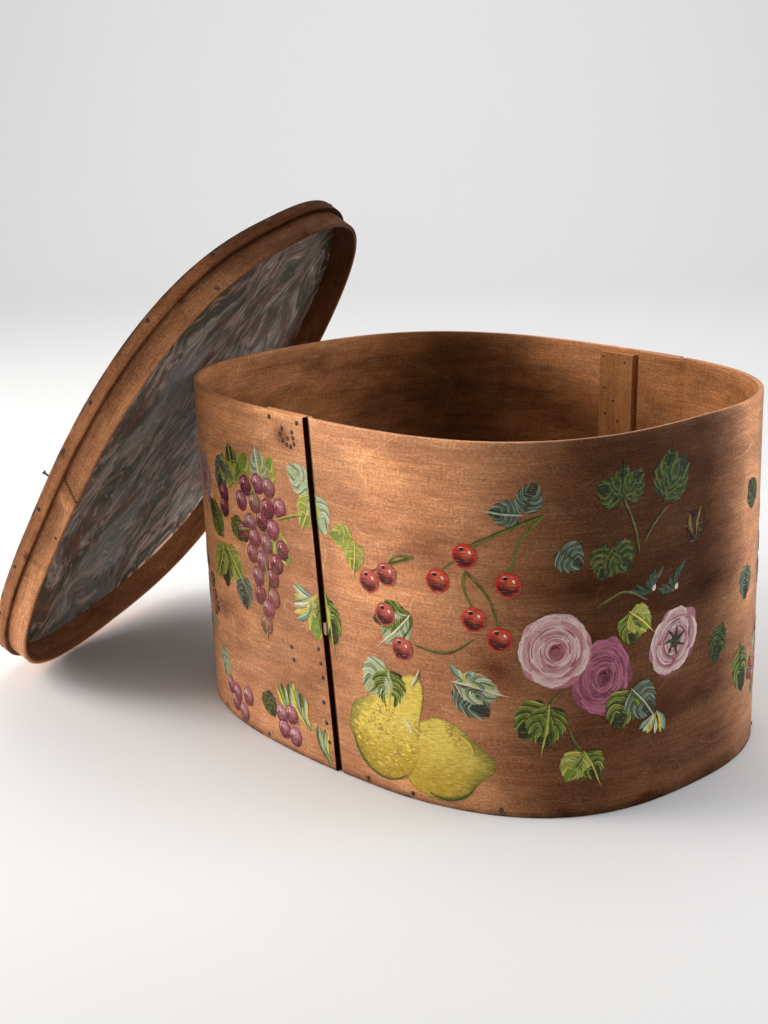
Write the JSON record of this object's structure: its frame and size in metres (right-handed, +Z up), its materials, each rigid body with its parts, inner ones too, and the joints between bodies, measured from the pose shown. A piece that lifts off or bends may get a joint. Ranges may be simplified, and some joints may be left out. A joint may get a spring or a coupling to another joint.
{
  "type": "hat box",
  "caption": "Oval bentwood hat box with hand-painted fruit and roses; its shallow lid, lined with marbled paper, leans open against the left end.",
  "frame": {"origin": "centre of the flat underside of the box", "axes": "+Z up, +X along the length of the box towards the end away from the lid, +Y towards the back"},
  "size_m": [0.6384, 0.4731, 0.4009],
  "materials": {
    "box_wood": "stained and varnished softwood, painted decoration",
    "inner_wood": "raw wood darkened with age",
    "lid_wood": "stained, rubbed and chalky",
    "lid_top_wood": "stained, painted decoration",
    "lining": "marbled paper, torn at the edge",
    "filler": "coloured wood filler",
    "nail_iron": "dark rusted wire nail"
  },
  "bodies": {
    "box": {"left_board": "box_wood", "right_board": "box_wood", "floor_board": "inner_wood", "rear_batten": "inner_wood", "seam_filler": "filler", "front_lap_nails": "nail_iron", "repair_nails": "nail_iron", "rear_lap_nails": "nail_iron", "batten_nails": "nail_iron", "floor_nails": "nail_iron"},
    "lid": {"lid_top_board": "lid_top_wood", "lid_rim_hoop": "lid_wood", "lid_trim_band": "lid_wood", "lid_lining": "lining", "lid_trim_nails": "nail_iron", "lid_rim_nails": "nail_iron", "lid_loose_nail": "nail_iron"}
  },
  "joints": [
    {"name": "lid_lift", "type": "slide", "parent": "box", "child": "lid", "axis": [0, 0, 1], "range_m": [0, 0.3]}
  ]
}
